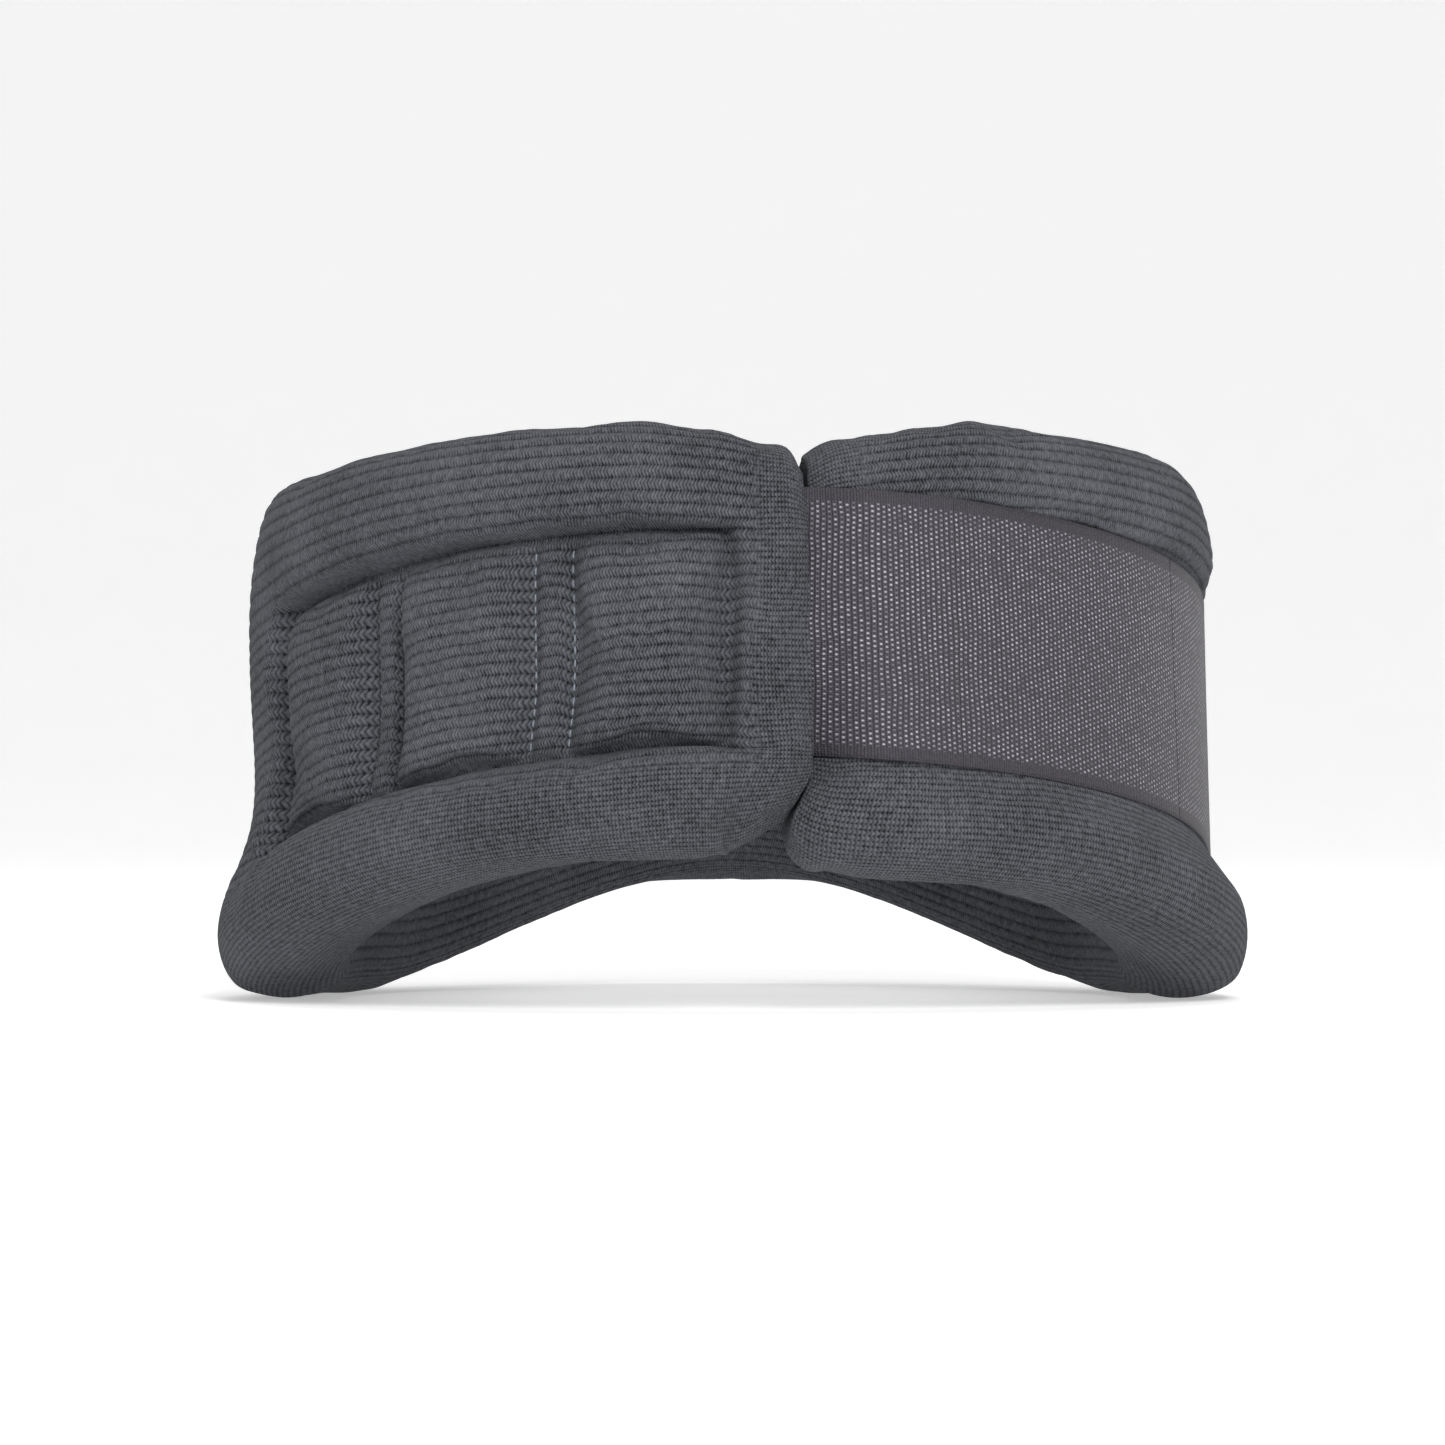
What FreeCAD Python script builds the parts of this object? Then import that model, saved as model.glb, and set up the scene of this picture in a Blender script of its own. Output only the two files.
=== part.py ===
import FreeCAD, Part
import functools
import math
import os

# A soft neck collar as it is worn: a padded ring, open at the back, closed there by a hook tape.
# Millimetres. +Z is up, +Y points to the wearer's front, +X to the wearer's right.
# An angle runs round the neck from the middle of the back (-Y), positive towards the wearer's right.

# ---- overall ring ----
HALF_WIDTH = 92.0  # neck axis to the outer face at the sides
HALF_DEPTH = 89.0  # neck axis to the outer face at back and front
ROLL = 13.0  # radius of the padded rims, so the wall is twice this
FLARE_SIDE = 8.0  # how far the lower rim stands out over the shoulders
FLARE_ENDS = 5.0  # and at the back and front
TOP_BACK = 109.5
TOP_SIDE = 103.0
TOP_CHIN = 88.0
BOTTOM_BACK = 29.0
BOTTOM_CHIN = 22.0
SQUASH = 1.2  # how much of the lower rim is pressed flat where it stands

# ---- closure and bending lines, degrees ----
CLOSURE = 9.4
BEND = 114.0  # the foam bends here when the collar is opened
END_GAP = 0.3  # half of the gap between the two ends
BEND_GAP = 0.2  # half of the gap between the bodies at a bending line
END_FILL = 0.55  # share of the rim radius left at the rounded end faces

# ---- cover and foam ----
COVER = 1.0
COVER_GAP = 0.15

# ---- window panels ----
PANEL_DEPTH = 8.0
PANEL_TOP_SIDE = 69.5  # edge heights at the side of the neck
PANEL_BOTTOM_SIDE = 21.0
PANEL_TOP_RISE = 21.0  # and how much higher they are at the closure
PANEL_BOTTOM_RISE = 29.0
FRONT_PANEL_TOP = 68.0
FRONT_PANEL_BOTTOM = 36.0
PAD_COUNT = 3
BACK_PANEL_ANGLE = 72.0
FRONT_PANEL_ANGLE = 72.0
END_ROLL_ANGLE = 10.0  # from the closure to the first window
PAD_SINK = 0.9  # how far the pad's middle stays below the outer face
PAD_CROWN = 2.2  # how much thicker it is there than along its stitched edges
PAD_CORNER = 1.8
PAD_CLEARANCE = 0.3
STAY_WIDTH = 4.2
STAY_THICKNESS = 1.4
STAY_CLEARANCE = 0.15
SLEEVE_WALL = 0.7
STAY_MARGIN = 3.0  # from the panel's upper and lower edges to the stay's ends
THREAD = 0.5
THREAD_OFFSET = 0.25  # between the sleeve and its stitching

# ---- hook tape ----
TAPE_WIDTH = 50.0
TAPE_WEAVE = 0.9
HOOKS = 0.5
TAPE_CLEARANCE = 0.5
TAPE_SIDE_HEIGHT = 52.5  # middle of the tape at the side of the neck
TAPE_DROP = 21.0  # how much higher it is at the back
TAPE_LEVELLING = 13.0
TAPE_END = 110.0
TAPE_BENDS = (47.0, 86.0)
TAPE_GAP = 0.2
TAPE_EXIT_DEPTH = 3.4  # below the outer face, where the tape leaves the left end
TAPE_EXIT_ARC = 4.0  # from the left end's face to that exit
HOOK_MARGIN = 2.0  # woven edge without hooks
SLOT_CLEARANCE = 0.2
MOUTH_CLEARANCE = 0.4
BINDING_ANGLE = 5.5
BINDING = 0.5
ANCHOR_LENGTH = 9.0

# ---- loop patch ----
PATCH_ANGLES = (97.0, 111.5)
PATCH = 0.6
PATCH_HEIGHT = 44.0
PATCH_SEAT = 0.25  # between the cover and the patch
PATCH_LEAD = 14.0  # degrees over which the tape rises onto the patch

SECTION_STEP = 9.0
TAPE_STEP = 3.0
PROFILE_STEPS = 200
DIAGONAL = math.sqrt(0.5)


def ease(t):
    t = min(1.0, max(0.0, t))
    return t * t * (3 - 2 * t)


def ring_radius(phi):
    s, c = math.sin(math.radians(phi)), math.cos(math.radians(phi))
    return HALF_WIDTH * HALF_DEPTH / math.hypot(HALF_DEPTH * s, HALF_WIDTH * c)


def flare(phi):
    return FLARE_ENDS + (FLARE_SIDE - FLARE_ENDS) * math.sin(math.radians(phi)) ** 2


def top_edge(phi):
    a = abs(phi)
    if a <= 90:
        return TOP_BACK + (TOP_SIDE - TOP_BACK) * ease((a - 15) / 75)
    return TOP_SIDE + (TOP_CHIN - TOP_SIDE) * ease((a - 95) / 85)


def bottom_edge(phi):
    a = abs(phi)
    if a <= 90:
        lift = (BOTTOM_BACK + SQUASH) * math.cos(math.radians(a)) ** 1.2
    else:
        lift = (BOTTOM_CHIN + SQUASH) * ease((a - 112) / 68)
    return lift - SQUASH


def at(phi, r, z):
    a = math.radians(phi)
    return FreeCAD.Vector(r * math.sin(a), -r * math.cos(a), z)


def arc_angle(length, phi):
    """The angle that a length along the outer face turns through."""
    return math.degrees(length / ring_radius(phi))


# ---- the padded ring's section ----
def section_points(phi, reach):
    """Points round the section, as (radius, height): spine points plus reach along a direction."""
    r = ring_radius(phi) - ROLL
    f = flare(phi)
    zt, zb = top_edge(phi) - ROLL, bottom_edge(phi) + ROLL
    top, low = (r, zt), (r + f, zb)
    middle, waist = (r + 0.1 * f, (zt + zb) / 2), (r + 0.3 * f, zb + 1.3 * ROLL)
    d = DIAGONAL
    spots = [
        (top, (-1, 0)), (top, (-d, d)), (top, (0, 1)), (top, (d, d)), (top, (1, 0)), (middle, (1, 0)),
        (waist, (1, 0)), (low, (1, 0)), (low, (d, -d)), (low, (0, -1)), (low, (-d, -d)), (low, (-1, 0)),
        (middle, (-1, 0)),
    ]
    return [(s[0] + reach * u[0], s[1] + reach * u[1]) for s, u in spots]


def section_curve(phi, reach):
    curve = Part.BSplineCurve()
    curve.interpolate([at(phi, r, z) for r, z in section_points(phi, reach)], PeriodicFlag=True)
    return curve


@functools.lru_cache(maxsize=None)
def section_profile(phi):
    """The section's outline as a run of (radius, height)."""
    curve = section_curve(phi, ROLL)
    span = curve.LastParameter - curve.FirstParameter
    points = [curve.value(curve.FirstParameter + span * i / PROFILE_STEPS) for i in range(PROFILE_STEPS + 1)]
    return [(math.hypot(p.x, p.y), p.z) for p in points]


def outer_radius(phi, z):
    """Radius of the outer face at a height."""
    profile = section_profile(phi)
    crossings = []
    for (r0, z0), (r1, z1) in zip(profile, profile[1:]):
        if z0 != z1 and (z0 - z) * (z1 - z) <= 0:
            crossings.append(r0 + (z - z0) / (z1 - z0) * (r1 - r0))
    return max(crossings)


def end_reach(arc):
    """Rim radius left at this distance from a rounded end."""
    share = math.sin(math.pi / 2 * min(1.0, arc / ROLL))
    return ROLL * (END_FILL + (1 - END_FILL) * share)


def stations(phi_a, phi_b, step=SECTION_STEP):
    n = max(2, math.ceil(abs(phi_b - phi_a) / step))
    return [phi_a + (phi_b - phi_a) * i / n for i in range(n + 1)]


def padded_band(end, bend, inset=0.0):
    """Solid from a rounded end at the closure to a flat face at a bending line."""
    side = math.copysign(1, bend - end)
    start = end + side * arc_angle(inset, end)
    arcs = [0.0, 0.12 * ROLL, 0.35 * ROLL, 0.65 * ROLL]
    wires = []
    for arc in arcs:
        phi = start + side * arc_angle(arc, end)
        wires.append(Part.Wire(section_curve(phi, end_reach(arc) - inset).toShape()))
    for phi in stations(start + side * arc_angle(ROLL, end), bend):
        wires.append(Part.Wire(section_curve(phi, ROLL - inset).toShape()))
    return standing(Part.makeLoft(wires, True, False), inset)


def front_band(inset=0.0):
    """Solid across the chin, between the two bending lines."""
    gap = arc_angle(BEND_GAP, BEND)
    wires = []
    for phi in stations(BEND + gap, 360 - BEND - gap):
        a = phi if phi <= 180 else phi - 360
        wires.append(Part.Wire(section_curve(a, ROLL - inset).toShape()))
    return standing(Part.makeLoft(wires, True, False), inset)


def standing(solid, inset):
    """Presses the lowest part of the rim flat, at floor level."""
    reach = 3 * HALF_WIDTH
    floor = Part.makeBox(2 * reach, 2 * reach, 50, FreeCAD.Vector(-reach, -reach, inset - 50))
    return solid.cut(floor)


# ---- blocks that follow the ring ----
def ring_block(phi_a, phi_b, r_in, r_out, z_low, z_high):
    """Solid between two angles; the four limits are functions of the angle."""
    wires = []
    for phi in stations(phi_a, phi_b):
        a = phi if phi <= 180 else phi - 360
        corners = [
            at(a, r_in(a), z_low(a)), at(a, r_out(a), z_low(a)),
            at(a, r_out(a), z_high(a)), at(a, r_in(a), z_high(a)),
        ]
        wires.append(Part.makePolygon(corners + corners[:1]))
    return Part.makeLoft(wires, True, False)


def back_slope(phi):
    """1 at the closure, falling to 0 towards the sides, alike on both halves."""
    return math.cos(math.radians(abs(phi - CLOSURE) - CLOSURE))


def panel_top(phi):
    if abs(phi) > BEND:
        return FRONT_PANEL_TOP
    return PANEL_TOP_SIDE + PANEL_TOP_RISE * back_slope(phi)


def panel_bottom(phi):
    if abs(phi) > BEND:
        return FRONT_PANEL_BOTTOM
    return PANEL_BOTTOM_SIDE + PANEL_BOTTOM_RISE * back_slope(phi)


def panel_floor(phi):
    return ring_radius(phi) - PANEL_DEPTH


def panel_cutter(phi_a, phi_b, grow):
    """What is taken out of the outer face to make a window panel."""
    turn = arc_angle(grow, phi_a) * math.copysign(1, phi_b - phi_a)
    return ring_block(
        phi_a - turn, phi_b + turn,
        lambda a: panel_floor(a) - grow, lambda a: ring_radius(a) + 2 * ROLL,
        lambda a: panel_bottom(a) - grow, lambda a: panel_top(a) + grow,
    )


def thread_place():
    """From a stay's middle to the middle of the stitching beside it."""
    return STAY_WIDTH / 2 + STAY_CLEARANCE + SLEEVE_WALL + THREAD_OFFSET + THREAD / 2


def panel_layout(phi_a, phi_b):
    """Angles of the pads and of the stay sleeves between them."""
    side = math.copysign(1, phi_b - phi_a)
    strip = math.degrees(2 * (thread_place() + THREAD / 2) / (HALF_DEPTH - PANEL_DEPTH))
    pad = (abs(phi_b - phi_a) - (PAD_COUNT - 1) * strip) / PAD_COUNT
    pads = [phi_a + side * i * (pad + strip) for i in range(PAD_COUNT)]
    sleeves = [phi + side * (pad + strip / 2) for phi in pads[:-1]]
    return [(phi, phi + side * pad) for phi in pads], sleeves


def make_pad(phi_a, phi_b):
    """Foam tile, crowned across, seated on the panel's floor."""
    turn = math.copysign(arc_angle(PAD_CLEARANCE, phi_a), phi_b - phi_a)
    a, b = phi_a + turn, phi_b - turn

    def crown(phi):
        full = phi if (phi - a) * (b - a) >= 0 else phi + 360
        return math.sin(math.pi * min(1.0, max(0.0, (full - a) / (b - a))))

    block = ring_block(
        a, b,
        lambda p: panel_floor(p) + PAD_CLEARANCE,
        lambda p: ring_radius(p) - PAD_SINK - PAD_CROWN * (1 - crown(p)),
        lambda p: panel_bottom(p) + PAD_CLEARANCE,
        lambda p: panel_top(p) - PAD_CLEARANCE,
    )
    return block.makeFillet(PAD_CORNER, block.Edges)


def upright_box(phi, r_in, depth, width, z_low, z_high):
    """Box whose back lies at r_in, square to the radius."""
    box = Part.makeBox(width, depth, z_high - z_low, FreeCAD.Vector(-width / 2, 0, 0))
    box.rotate(FreeCAD.Vector(), FreeCAD.Vector(0, 0, 1), 180 + phi)
    box.translate(at(phi, r_in, z_low))
    return box


def make_stay(phi, clearance=0.0):
    back = panel_floor(phi) + PAD_CLEARANCE + SLEEVE_WALL + STAY_CLEARANCE
    return upright_box(
        phi, back - clearance, STAY_THICKNESS + 2 * clearance, STAY_WIDTH + 2 * clearance,
        panel_bottom(phi) + STAY_MARGIN - clearance, panel_top(phi) - STAY_MARGIN + clearance,
    )


def make_sleeve(phi):
    """Closed pocket of doubled knit round a stay."""
    wall = SLEEVE_WALL + STAY_CLEARANCE
    outside = make_stay(phi, wall)
    return outside.cut(make_stay(phi, STAY_CLEARANCE))


def make_sleeve_threads(phi):
    """Two upright rows of stitching, one on each side of a sleeve."""
    rows = []
    for side in (-1, 1):
        turn = side * math.degrees(thread_place() / panel_floor(phi))
        rows.append(upright_box(
            phi + turn, panel_floor(phi) + PAD_CLEARANCE, THREAD, THREAD,
            panel_bottom(phi) + STAY_MARGIN, panel_top(phi) - STAY_MARGIN,
        ))
    return rows


# ---- hook tape ----
def tape_middle_height(phi):
    c = math.cos(math.radians(phi))
    return TAPE_SIDE_HEIGHT + TAPE_DROP * c + TAPE_LEVELLING * min(0.0, c) ** 2


@functools.lru_cache(maxsize=None)
def tape_faces(phi):
    """Inner radii of the tape at its lower and upper edge; flat between them, it clears the cover."""
    low = tape_middle_height(phi) - TAPE_WIDTH / 2
    steps = 8
    cover = [outer_radius(phi, low + TAPE_WIDTH * i / steps) for i in range(steps + 1)]
    flat = [cover[0] + (cover[-1] - cover[0]) * i / steps for i in range(steps + 1)]
    bulge = max(c - f for c, f in zip(cover, flat))
    arc = math.radians(phi - CLOSURE) * ring_radius(phi)
    onto_patch = ease((phi - PATCH_ANGLES[0]) / PATCH_LEAD + 1)
    lift = bulge + end_reach(max(0.0, arc)) - ROLL + TAPE_CLEARANCE + onto_patch * (PATCH_SEAT + PATCH)
    leaving = ring_radius(phi) - TAPE_EXIT_DEPTH
    out = min(1.0, (phi - exit_angle()) / (CLOSURE - exit_angle()))  # 0 at the exit, 1 from the closure on
    return tuple(leaving + out * max(0.0, edge + lift - leaving) for edge in (cover[0], cover[-1]))


def tape_block(angles, near, far, margin=0.0):
    """Part of the tape through these angles, from near to far outside its inner face."""
    wires = []
    for phi in angles:
        middle = tape_middle_height(phi)
        half = TAPE_WIDTH / 2 - margin
        low, high = tape_faces(phi)
        lean = (low - high) / TAPE_WIDTH * margin
        corners = [
            at(phi, low - lean + near, middle - half), at(phi, low - lean + far, middle - half),
            at(phi, high + lean + far, middle + half), at(phi, high + lean + near, middle + half),
        ]
        wires.append(Part.makePolygon(corners + corners[:1]))
    return Part.makeLoft(wires, True, True)


def exit_angle():
    return CLOSURE - arc_angle(END_GAP + TAPE_EXIT_ARC, CLOSURE)


def make_anchor(clearance=0.0):
    """The end of the tape that is sewn inside the left end."""
    middle = tape_middle_height(exit_angle())
    half = TAPE_WIDTH / 2 + clearance
    return ring_block(
        exit_angle() - arc_angle(ANCHOR_LENGTH + clearance, CLOSURE), exit_angle(),
        lambda p: ring_radius(p) - TAPE_EXIT_DEPTH - clearance,
        lambda p: ring_radius(p) - TAPE_EXIT_DEPTH + HOOKS + TAPE_WEAVE + clearance,
        lambda p: middle - half, lambda p: middle + half,
    )


def make_mouth():
    """Room for the tape to swing where it leaves the left end: everything outside its inner face."""
    middle = tape_middle_height(exit_angle())
    half = TAPE_WIDTH / 2 + MOUTH_CLEARANCE
    return ring_block(
        exit_angle() - arc_angle(MOUTH_CLEARANCE, CLOSURE), CLOSURE,
        lambda p: ring_radius(p) - TAPE_EXIT_DEPTH - MOUTH_CLEARANCE, lambda p: ring_radius(p) + ROLL,
        lambda p: middle - half, lambda p: middle + half,
    )


def make_patch():
    """Thin sheet that follows the cover where the tab lands."""
    wires = []
    for phi in stations(*PATCH_ANGLES):
        low = tape_middle_height(phi) - PATCH_HEIGHT / 2
        heights = [low + PATCH_HEIGHT * i / 6 for i in range(7)]
        inner = [at(phi, outer_radius(phi, z) + PATCH_SEAT, z) for z in heights]
        outer = [at(phi, outer_radius(phi, z) + PATCH_SEAT + PATCH, z) for z in reversed(heights)]
        sides = []
        for run in (inner, outer):
            curve = Part.BSplineCurve()
            curve.interpolate(run)
            sides.append(curve.toShape())
        upper, lower = Part.makeLine(inner[-1], outer[0]), Part.makeLine(outer[-1], inner[0])
        wires.append(Part.Wire([sides[0], upper, sides[1], lower]))
    return Part.makeLoft(wires, True, False)


def save(name, shapes):
    """Writes one node; several solids go in as a group."""
    shapes = shapes if isinstance(shapes, list) else [shapes]
    solids = [s for shape in shapes for s in shape.Solids]
    shape = solids[0] if len(solids) == 1 else Part.makeCompound(solids)
    volume = sum(s.Volume for s in solids)
    print(f"{name:22s} {len(solids):3d} solid  valid {shape.isValid()}  {volume / 1000:8.2f} cm3")
    shape.exportStep(f"parts/{name}.step")


def save_panel(side, phi_a, phi_b):
    pads, sleeves = panel_layout(phi_a, phi_b)
    for i, (a, b) in enumerate(pads):
        save(f"{side}_pad_{i + 1}", make_pad(a, b))
    threads = []
    for i, phi in enumerate(sleeves):
        a = phi if phi <= 180 else phi - 360
        save(f"{side}_stay_sleeve_{i + 1}", make_sleeve(a))
        save(f"{side}_stay_{i + 1}", make_stay(a))
        threads += make_sleeve_threads(a)
    save(f"{side}_stitching", threads)


def neck_side(phi_a, phi_b):
    """Everything inside the seams, which run along the crests of the two rims."""
    wires = []
    for phi in stations(phi_a, phi_b):
        a = phi if phi <= 180 else phi - 360
        r = ring_radius(a) - ROLL
        low = r + flare(a)
        outline = [
            (r / 2, -ROLL), (low, -ROLL), (low, bottom_edge(a) + ROLL), (r, bottom_edge(a) + ROLL),
            (r, TOP_BACK + ROLL), (r / 2, TOP_BACK + ROLL),
        ]
        corners = [at(a, radius, z) for radius, z in outline]
        wires.append(Part.makePolygon(corners + corners[:1]))
    return Part.makeLoft(wires, True, False)


def make_shells(bands, cutters, seam_block):
    """Outer cover, neck lining and foam core; bands and cutters go from the outside in."""
    whole = bands[0].cut(cutters[0])
    hollow = bands[1].cut(cutters[1])
    skin = whole.cut(hollow)
    return skin.cut(seam_block), skin.common(seam_block), bands[2].cut(cutters[2])


def main():
    os.makedirs("parts", exist_ok=True)
    grown = (0.0, COVER, COVER + COVER_GAP)
    end_turn, bend_turn = arc_angle(END_GAP, CLOSURE), arc_angle(BEND_GAP, BEND)

    left_end, left_bend = CLOSURE - end_turn, -BEND + bend_turn
    panel = (CLOSURE - END_ROLL_ANGLE, CLOSURE - END_ROLL_ANGLE - BACK_PANEL_ANGLE)
    bands = [padded_band(left_end, left_bend, g) for g in grown]
    cutters = [panel_cutter(*panel, g) for g in grown]
    cover, lining, core = make_shells(bands, cutters, neck_side(left_end + 1, left_bend - 1))
    slot = make_anchor(SLOT_CLEARANCE).fuse(make_mouth())
    save("left_cover", cover.cut(slot))
    save("left_lining", lining)
    save("left_foam", core.cut(slot))
    save_panel("left", *panel)
    save("tape_anchor", make_anchor())

    right_end, right_bend = CLOSURE + end_turn, BEND - bend_turn
    panel = (CLOSURE + END_ROLL_ANGLE, CLOSURE + END_ROLL_ANGLE + BACK_PANEL_ANGLE)
    bands = [padded_band(right_end, right_bend, g) for g in grown]
    cutters = [panel_cutter(*panel, g) for g in grown]
    cover, lining, core = make_shells(bands, cutters, neck_side(right_end - 1, right_bend + 1))
    save("right_cover", cover)
    save("right_lining", lining)
    save("right_foam", core)
    save_panel("right", *panel)
    save("loop_patch", make_patch())

    panel = (180 - FRONT_PANEL_ANGLE / 2, 180 + FRONT_PANEL_ANGLE / 2)
    bands = [front_band(g) for g in grown]
    cutters = [panel_cutter(*panel, g) for g in grown]
    cover, lining, core = make_shells(bands, cutters, neck_side(BEND - 1, 361 - BEND))
    save("front_cover", cover)
    save("front_lining", lining)
    save("front_foam", core)
    save_panel("front", *panel)

    gap = arc_angle(TAPE_GAP, CLOSURE)
    cuts = [exit_angle() + gap, TAPE_BENDS[0], TAPE_BENDS[1], TAPE_END]
    outside = HOOKS + TAPE_WEAVE
    for i, name in enumerate(("root", "middle", "tab")):
        a, b = cuts[i] + gap, cuts[i + 1] - gap
        bound = b - BINDING_ANGLE if name == "tab" else b
        angles = stations(a, bound, TAPE_STEP)
        save(f"hooks_{name}", tape_block(angles, 0.0, HOOKS, HOOK_MARGIN))
        save(f"tape_{name}", tape_block(angles + [b] * (bound < b), HOOKS, outside))
    save("tab_binding", tape_block([bound, b], outside, outside + BINDING))


main()
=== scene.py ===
import bpy, bmesh, functools, math
import numpy as np
from mathutils import Matrix, Vector, kdtree, noise


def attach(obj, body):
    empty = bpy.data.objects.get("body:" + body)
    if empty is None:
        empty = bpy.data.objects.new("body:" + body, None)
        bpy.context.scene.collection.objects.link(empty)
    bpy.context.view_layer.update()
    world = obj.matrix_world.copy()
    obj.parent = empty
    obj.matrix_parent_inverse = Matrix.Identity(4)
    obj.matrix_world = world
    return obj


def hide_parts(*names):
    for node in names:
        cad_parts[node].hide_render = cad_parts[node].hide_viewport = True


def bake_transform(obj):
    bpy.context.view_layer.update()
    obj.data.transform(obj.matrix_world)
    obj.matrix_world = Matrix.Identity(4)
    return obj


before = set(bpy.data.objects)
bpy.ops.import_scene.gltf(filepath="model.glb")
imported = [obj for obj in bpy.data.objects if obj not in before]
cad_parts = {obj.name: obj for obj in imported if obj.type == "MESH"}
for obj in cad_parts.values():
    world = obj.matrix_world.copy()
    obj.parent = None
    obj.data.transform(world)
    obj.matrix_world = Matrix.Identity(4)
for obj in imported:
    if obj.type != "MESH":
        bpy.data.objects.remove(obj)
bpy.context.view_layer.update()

# A soft neck collar: knit over foam, closed at the back by a hook tape.
# Lengths are millimetres until a mesh is made. Angles run round the neck from the middle of the back,
# positive towards the wearer's right.
MM = 0.001

# ---- the ring, as the frame has it ----
HALF_WIDTH = 92.0
HALF_DEPTH = 89.0
ROLL = 13.0
FLARE_SIDE, FLARE_ENDS = 8.0, 5.0
TOP_BACK, TOP_SIDE, TOP_CHIN = 109.5, 103.0, 88.0
BOTTOM_BACK, BOTTOM_CHIN = 29.0, 22.0
SQUASH = 1.2
CLOSURE = 9.4
END_GAP = 0.3  # half of the gap between the two ends
END_FILL, LEFT_END_FILL = 0.55, 0.74  # share of the rim's radius left at the two closed ends
SEAM_LEAN, SEAM_LEAN_BELOW, SEAM_LEAN_OVER = 4.5, 47.0, 14.0  # the closure's lean, and where it sets in

# ---- window panels ----
PAD_COUNT = 3
PANEL_ANGLE, FRONT_PANEL_ANGLE = 72.0, 72.0
END_ROLL_ANGLE = 10.0  # from the closure to the first window
STRIP = 7.4  # width of the strip between two pads
PANEL_DEPTH = 8.0
CREASE = 8.2  # depth of the stitched lines round a pad
PAD_SINK, STRIP_SINK = 0.4, 4.8  # depth of a pad's middle and of a strip's below the plain ring
ROLL_OVERHANG = 4.2  # over which a roll rounds down into the panel
END_ROLL, END_BULGE = 14.5, 1.5  # the upright roll beside the closure
RIB_PULL, RIB_WAVE = 2.4, 0.9  # how far ribs are pulled down beside a stitched line, and their waviness

# ---- knit, counted in ribs round the collar's section ----
INNER_RIBS, TOP_RIBS, PANEL_RIBS, LOW_RIBS = 46, 12, 19, 15
RIBS = INNER_RIBS + TOP_RIBS + PANEL_RIBS + LOW_RIBS
HALF_ROWS = (57.5, 58.5, 59.5, 75.5, 76.5, 77.5)  # closer rows along the panel's edges
ROWS = sorted(set(range(RIBS + 1)) | set(HALF_ROWS) | {RIBS - row for row in HALF_ROWS})
RIB_PITCH = 2.2
COLUMN, PAD_COLUMN, FRONT_PAD_COLUMN, STRIP_COLUMN, FRONT_STRIP_COLUMN = 2.6, 2.3, 2.2, 1.6, 1.9
END_FILLS = (0.0, 0.35, 0.65, 0.87)  # how full the section is in the columns that close an end
END_ARCS = (0.25, 0.9, 2.0, 3.6, 5.6, 7.8, 10.2)  # distances of the next columns from the end
END_COLUMNS_STOP = 12.4
END_ALONG = 6.0  # length of knit that closes an end
RIB_HEIGHT = 0.26

# ---- tape ----
TAPE_WIDTH = 50.0
TAPE_WEAVE, HOOKS = 0.9, 0.5
TAPE_CLEARANCE = 0.5
TAPE_SIDE_HEIGHT, TAPE_DROP, TAPE_LEVELLING = 52.5, 21.0, 13.0  # the run of the tape's middle
TAPE_END = 110.0
TAPE_BENDS = (47.0, 86.0)
TAPE_EXIT_DEPTH, TAPE_EXIT_ARC = 3.4, 4.0
TAPE_TUCK = 1.4  # how much deeper the soft end lets the tape sit
TAPE_PRESS = 2.6  # how far the tape presses into the knit
PATCH_ANGLES = (97.0, 111.5)
PATCH, PATCH_SEAT, PATCH_LEAD, PATCH_HEIGHT = 0.6, 0.25, 14.0, 44.0
BINDING, BINDING_ANGLE = 0.4, 5.5
HOOK_MARGIN = 2.0  # woven edge without hooks
UNDER_TAPE = 0.4  # room kept between the knit and the tape


def ease(t):
    t = min(1.0, max(0.0, t))
    return t * t * (3 - 2 * t)


def mix(a, b, t):
    return a + (b - a) * t


def ring_radius(phi):
    s, c = math.sin(math.radians(phi)), math.cos(math.radians(phi))
    return HALF_WIDTH * HALF_DEPTH / math.hypot(HALF_DEPTH * s, HALF_WIDTH * c)


def arc_angle(length, phi):
    return math.degrees(length / ring_radius(phi))


def flare(phi):
    return FLARE_ENDS + (FLARE_SIDE - FLARE_ENDS) * math.sin(math.radians(phi)) ** 2


def top_edge(phi):
    a = abs(phi)
    if a <= 90:
        return TOP_BACK + (TOP_SIDE - TOP_BACK) * ease((a - 15) / 75)
    return TOP_SIDE + (TOP_CHIN - TOP_SIDE) * ease((a - 95) / 85)


def bottom_edge(phi):
    a = abs(phi)
    if a <= 90:
        return (BOTTOM_BACK + SQUASH) * math.cos(math.radians(a)) ** 1.2 - SQUASH
    return (BOTTOM_CHIN + SQUASH) * ease((a - 112) / 68) - SQUASH


def back_slope(phi):
    return math.cos(math.radians(abs(phi - CLOSURE) - CLOSURE))


def panel_edges(phi):
    """Lower and upper edge height of the window panels; between two panels the lines run on."""
    a = min(abs(phi), 100.0) * math.copysign(1, phi)
    to_front = ease((abs(phi) - 92) / 50)
    low = mix(21.0 + 29.0 * back_slope(a), 36.0, to_front)
    return low, mix(69.5 + 21.0 * back_slope(a), 68.0, to_front)


def at(phi, r, z):
    a = math.radians(phi)
    return Vector((r * math.sin(a), -r * math.cos(a), z)) * MM


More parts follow.
